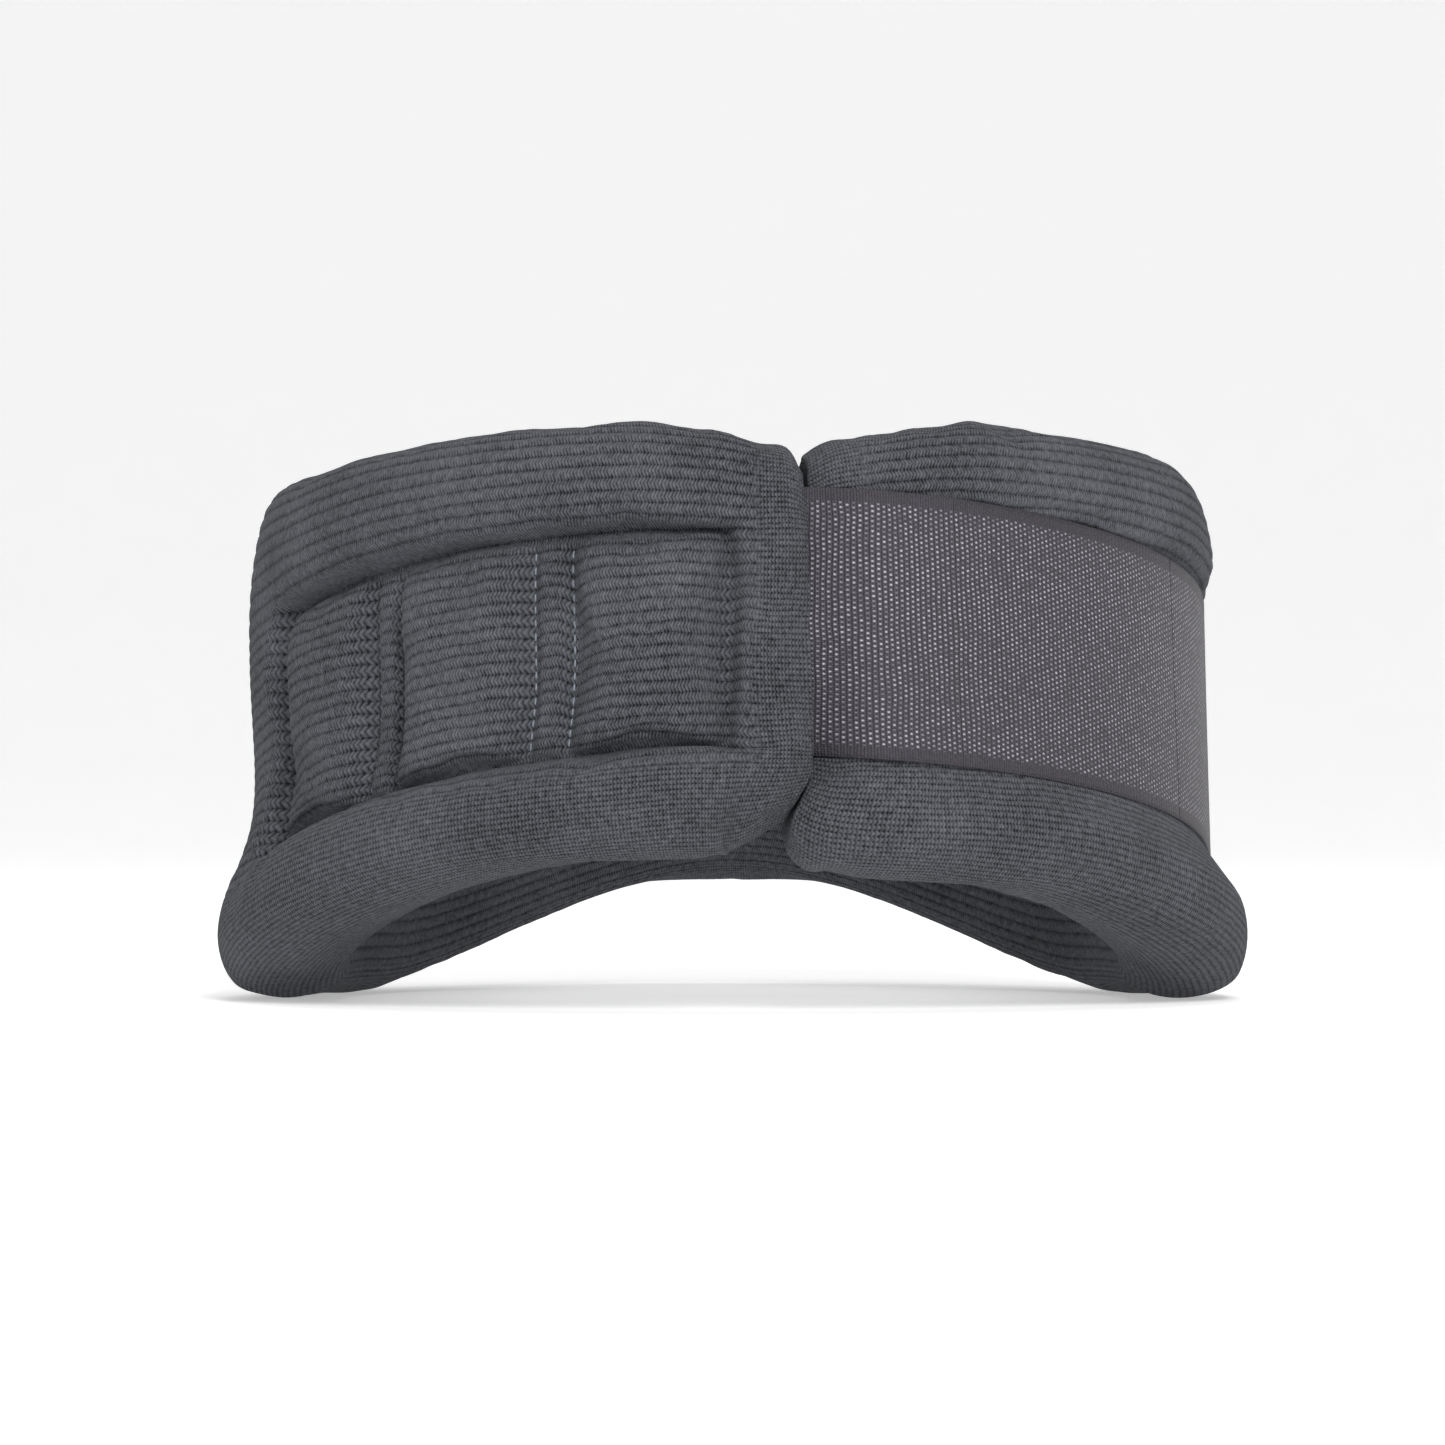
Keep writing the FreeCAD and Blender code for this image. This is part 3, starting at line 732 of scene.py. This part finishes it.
def plain_material(name, dark, light, scale, roughness, depth):
    """Even surface with a fine grain."""
    n = Nodes(name)
    spot = n.add("ShaderNodeTexCoord").outputs["Object"]
    grain = n.noise(spot, scale, 4.0, 0.65)
    return n.finish(n.blend(grain, dark, light), roughness, n.bump(grain, depth, 0.7), sheen=0.1)


# ---- tape ----
def tape_middle_height(phi):
    c = math.cos(math.radians(phi))
    return TAPE_SIDE_HEIGHT + TAPE_DROP * c + TAPE_LEVELLING * min(0.0, c) ** 2


def exit_angle():
    return CLOSURE - arc_angle(END_GAP + TAPE_EXIT_ARC, CLOSURE)


@functools.lru_cache(maxsize=None)
def tape_faces(phi):
    """Inner radii of the tape at its lower and upper edge; it comes out deep beside the left end."""
    low = tape_middle_height(phi) - TAPE_WIDTH / 2
    steps = 8
    cover = [outer_radius(phi, low + TAPE_WIDTH * i / steps) for i in range(steps + 1)]
    flat = [mix(cover[0], cover[-1], i / steps) for i in range(steps + 1)]
    bulge = max(c - f for c, f in zip(cover, flat))
    arc = math.radians(phi - CLOSURE) * ring_radius(phi)
    onto_patch = ease((phi - PATCH_ANGLES[0]) / PATCH_LEAD + 1)
    lift = bulge + TAPE_CLEARANCE + onto_patch * (PATCH_SEAT + PATCH) - TAPE_PRESS * ease((phi - 12) / 35)
    leaving = ring_radius(phi) - TAPE_EXIT_DEPTH - TAPE_TUCK
    out = ease((arc + 1) / 15)
    return mix(leaving, cover[0] + lift, out), mix(leaving, cover[-1] + lift, out)


def tape_spot(phi, across, height):
    """Point of the tape: across goes from 0 at its lower edge, height is above its inner face."""
    low, high = tape_faces(phi)
    r = mix(low, high, across / TAPE_WIDTH) + height
    return at(phi, r, tape_middle_height(phi) - TAPE_WIDTH / 2 + across)


def tape_strip(name, start, end, near, far, margin, material, step=1.0):
    """One stretch of a layer of the tape, as a closed slab."""
    n = max(2, round((end - start) * math.radians(1) * HALF_WIDTH / step))
    angles = [mix(start, end, i / n) for i in range(n + 1)]
    rows = max(2, round((TAPE_WIDTH - 2 * margin) / step))
    width = TAPE_WIDTH - 2 * margin
    along = [math.radians(a) * HALF_WIDTH for a in angles]

    def place(i, j):
        return tape_spot(angles[i], margin + width * j / rows, near)

    bm = grid_piece(n + 1, rows + 1, place, lambda i, j: (along[i], margin + width * j / rows))
    middle = bm.faces[:][len(bm.faces) // 2]
    if middle.normal.dot(middle.calc_center_median() * Vector((1, 1, 0))) > 0:
        bmesh.ops.reverse_faces(bm, faces=bm.faces)
    bmesh.ops.solidify(bm, geom=bm.faces[:], thickness=-(far - near) * MM)
    bmesh.ops.recalc_face_normals(bm, faces=bm.faces)
    piece = finish_mesh(name, bm)
    piece.data.materials.append(material)
    return piece


TAPE_SPANS = [("a", exit_angle() - 1.2, (exit_angle() + TAPE_BENDS[0]) / 2, ("left_wing", "tape_root")),
              ("b", (exit_angle() + TAPE_BENDS[0]) / 2, sum(TAPE_BENDS) / 2, ("tape_root", "tape_middle")),
              ("c", sum(TAPE_BENDS) / 2, TAPE_END - 0.2, ("tape_middle", "tape_tab"))]
TAPE_HINGES = (exit_angle(), TAPE_BENDS[0], TAPE_BENDS[1])
# Degrees before and after each hinge, the tab's only past its own, clear of the knit; the tape loop reads
# them but bends nothing.
TAPE_FOLDS = ((3.0, 3.0), (8.0, 8.0), (-0.5, 16.0))


def bend_with(piece, side):
    """Bakes the piece's placement into its mesh."""
    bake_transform(piece)


# ---- stitching ----
STITCH_LENGTH, STITCH_STEP, THREAD = 1.5, 2.3, 0.34
STITCH_HEIGHT = 0.12  # of a stitch's middle above the knit
STITCH_INSET = 0.8  # rows between a line's ends and the panel's edges


def surface_finder(knit):
    """Returns a function giving point and normal of the knit at a length along it and a row."""
    mesh = knit.data
    uv = mesh.uv_layers["UVMap"].data
    tree = kdtree.KDTree(len(mesh.loops))
    for loop in mesh.loops:
        u, v = uv[loop.index].uv
        tree.insert(Vector((u, v * RIB_PITCH, 0)), loop.vertex_index)
    tree.balance()

    def find(u, row):
        vert = mesh.vertices[tree.find(Vector((u, row * RIB_PITCH, 0)))[1]]
        return vert.co.copy(), vert.normal.copy()
    return find


def stitch_rows(name, knit, end, lines, material):
    """Rows of short stitches down the lines of a half that starts at an end, half sunk in its knit."""
    find = surface_finder(knit)
    bm = bmesh.new()
    bm.loops.layers.uv.verify()
    for phi in lines:
        u = END_ALONG + abs(phi - end) * math.radians(1) * HALF_WIDTH
        top, low = find(u, PANEL_TOP_ROW + STITCH_INSET)[0], find(u, PANEL_LOW_ROW - STITCH_INSET)[0]
        count = max(2, int((top - low).length / (STITCH_STEP * MM)))
        for k in range(count):
            rows = [PANEL_TOP_ROW + STITCH_INSET + (PANEL_RIBS - 2 * STITCH_INSET) * (k + t) / count
                    for t in (0.15, 0.15 + STITCH_LENGTH / STITCH_STEP)]
            (a, normal), (b, _) = find(u, rows[0]), find(u, rows[1])
            middle, axis = (a + b) / 2 + normal * STITCH_HEIGHT * MM, (b - a).normalized()
            turn = axis.to_track_quat("Z", "Y").to_matrix().to_4x4()
            ball = bmesh.ops.create_uvsphere(bm, u_segments=8, v_segments=6, radius=THREAD * MM / 2 * 1.3,
                                             calc_uvs=True)
            stretch = Matrix.Diagonal((1, 1, STITCH_LENGTH / (THREAD * 1.3), 1))
            bmesh.ops.transform(bm, verts=ball["verts"], matrix=Matrix.Translation(middle) @ turn @ stretch)
    piece = finish_mesh(name, bm)
    piece.data.materials.append(material)
    return piece


# ---- the collar ----
INSIDE = ("cover", "lining", "foam", "pad_1", "pad_2", "pad_3", "stay_sleeve_1", "stay_sleeve_2", "stay_1",
          "stay_2")


def half_end(side):
    return CLOSURE + side * arc_angle(END_GAP, CLOSURE)


def add_stitches(name, knit, side, lines, thread, node):
    seams = stitch_rows(name, knit, half_end(side), lines, thread)
    bend_with(seams, side)
    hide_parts(node)


def add_knit(knit, thread):
    """Both halves with their stitching; returns the right one, which the tape lies on."""
    left = knit_half("knit_left", half_end(-1), -1, LEFT_PADS, False)
    right = knit_half("knit_right", half_end(1), 1, RIGHT_PADS, True)
    for piece, wing, side, pads in ((left, "left", -1, LEFT_PADS), (right, "right", 1, RIGHT_PADS)):
        piece.data.materials.append(knit)
        bend_with(piece, side)
        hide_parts(*[f"{wing}_{kind}" for kind in INSIDE])
        lines = sorted((p for pad in pads for p in pad), key=lambda p: side * p)[1:-1]
        add_stitches(f"stitches_{wing}", piece, side, lines, thread, f"{wing}_stitching")
    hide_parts(*[f"front_{kind}" for kind in INSIDE])
    lines = sorted(p for pad in FRONT_PADS for p in pad)[1:-1]
    add_stitches("stitches_front_r", right, 1, [p for p in lines if p < 180], thread, "front_stitching")
    add_stitches("stitches_front_l", left, -1, [p - 360 for p in lines if p > 180], thread, "front_stitching")
    return right


def add_tape(tape):
    """The tape with its hooks, its binding, and the patch that it lands on."""
    hook = plain_material("hook_face", rgb(20, 20, 22), rgb(60, 60, 64), 1800.0, 0.7, 0.0004)
    loops = plain_material("loop_pile", rgb(26, 27, 30), rgb(72, 74, 78), 900.0, 0.95, 0.0006)
    ribbon = plain_material("tab_binding", rgb(28, 27, 30), rgb(66, 64, 69), 1400.0, 0.8, 0.0002)
    outside = HOOKS + TAPE_WEAVE
    layers = (("tape", HOOKS, outside, 0.0, tape, "tape_weave"),
              ("hooks", 0.0, HOOKS, HOOK_MARGIN, hook, "hook_face"))
    for (span, start, end, pair), hinge, (before, after) in zip(TAPE_SPANS, TAPE_HINGES, TAPE_FOLDS):
        for layer, near, far, margin, material, slot in layers:
            stop = end - (BINDING_ANGLE if layer == "hooks" and pair[1] == "tape_tab" else 0)
            piece = tape_strip(f"{layer}_{span}", start, stop, near, far, margin, material)
            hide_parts(f"{layer}_{pair[1].split('_')[1]}")
            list(pair)
            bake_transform(piece)
    binding = tape_strip("binding", TAPE_END - BINDING_ANGLE, TAPE_END - 0.1, outside - 0.1,
                         outside + BINDING, -0.1, ribbon)
    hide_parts("tab_binding")
    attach(binding, "tape_tab")
    patch = tape_strip("patch", *PATCH_ANGLES, -PATCH - 0.1, -0.1, (TAPE_WIDTH - PATCH_HEIGHT) / 2, loops)
    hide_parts("loop_patch")
    bend_with(patch, 1)
    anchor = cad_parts["tape_anchor"]
    anchor.data.materials.clear()
    anchor.data.materials.append(tape)


# ---- studio ----
VIEW_DISTANCE, RING_BACK = 1450.0, 94.0  # from the camera to the collar's back, and on to the neck's axis
CAMERA_SIDE, CAMERA_HEIGHT = -2.2, 54.4
VIEW_WIDTH = 267.0  # what the frame spans at the collar's back
CARD_GLOW = 0.38
FLOOR_START, FLOOR_END, CURVE, WALL_TOP, CARD_WIDTH = -6.0, 2.0, 1.5, 6.0, 16.0  # metres
LIGHTS = (  # name, place and size in metres, watts
    ("key", (0.35, -1.7, 1.1), 0.6, 27.0),
    ("fill", (-0.9, -1.7, 0.6), 1.0, 4.0),
    ("top", (0.0, -0.2, 1.7), 1.0, 8.0),
)
LIGHTS_AIM = Vector((0, 0, 0.05))
ROOM_LIGHT = 0.28


def backdrop():
    """Floor that curves up into a wall, all of one pale card."""
    n = Nodes("pale_card")
    spot = n.add("ShaderNodeTexCoord").outputs["Object"]
    grain = n.noise(spot, 30.0, 2.0)
    card = n.finish(n.blend(grain, rgb(246, 246, 246), rgb(250, 250, 250)), 0.9, n.bump(grain, 0.00001))
    n.shader.inputs["Emission Color"].default_value = (1, 1, 1, 1)
    n.shader.inputs["Emission Strength"].default_value = CARD_GLOW
    turns = np.linspace(0.2, math.pi / 2, 8)
    profile = [(FLOOR_START, 0.0), (FLOOR_END, 0.0)]
    profile += [(FLOOR_END + CURVE * math.sin(a), CURVE - CURVE * math.cos(a)) for a in turns]
    profile += [(FLOOR_END + CURVE, WALL_TOP)]

    def place(i, j):
        return Vector((CARD_WIDTH * (i - 0.5), *profile[j]))

    card_bm = grid_piece(2, len(profile), place, lambda i, j: (i, j))
    if card_bm.faces[:][0].normal.z < 0:
        bmesh.ops.reverse_faces(card_bm, faces=card_bm.faces)
    piece = finish_mesh("backdrop", card_bm)
    piece.data.materials.append(card)
    return piece


def camera_and_light():
    scene = bpy.context.scene
    backdrop()
    camera = bpy.data.cameras.new("camera")
    camera.sensor_width = 36.0
    camera.lens = camera.sensor_width * VIEW_DISTANCE / VIEW_WIDTH
    camera.clip_start, camera.clip_end = 0.05, 50.0
    holder = bpy.data.objects.new("camera", camera)
    holder.location = (CAMERA_SIDE * MM, -(VIEW_DISTANCE + RING_BACK) * MM, CAMERA_HEIGHT * MM)
    holder.rotation_euler = (math.radians(90), 0, 0)
    scene.collection.objects.link(holder)
    scene.camera = holder
    for name, spot, size, power in LIGHTS:
        light = bpy.data.lights.new(name, "AREA")
        light.energy, light.size = power, size
        lamp = bpy.data.objects.new(name, light)
        lamp.location = spot
        lamp.rotation_euler = (LIGHTS_AIM - Vector(spot)).to_track_quat("-Z", "Y").to_euler()
        scene.collection.objects.link(lamp)
    world = bpy.data.worlds.new("studio")
    world.use_nodes = True
    background = world.node_tree.nodes["Background"]
    background.inputs["Color"].default_value = (1, 1, 1, 1)
    background.inputs["Strength"].default_value = ROOM_LIGHT
    scene.world = world
    scene.view_settings.view_transform = "Standard"


woven_tape = tape_material("tape_weave")
right_half = add_knit(knit_material("charcoal_knit", rgb(22, 23, 26), rgb(112, 114, 120)),
                      thread_material("grey_thread", rgb(146, 154, 166)))
add_tape(woven_tape)
camera_and_light()
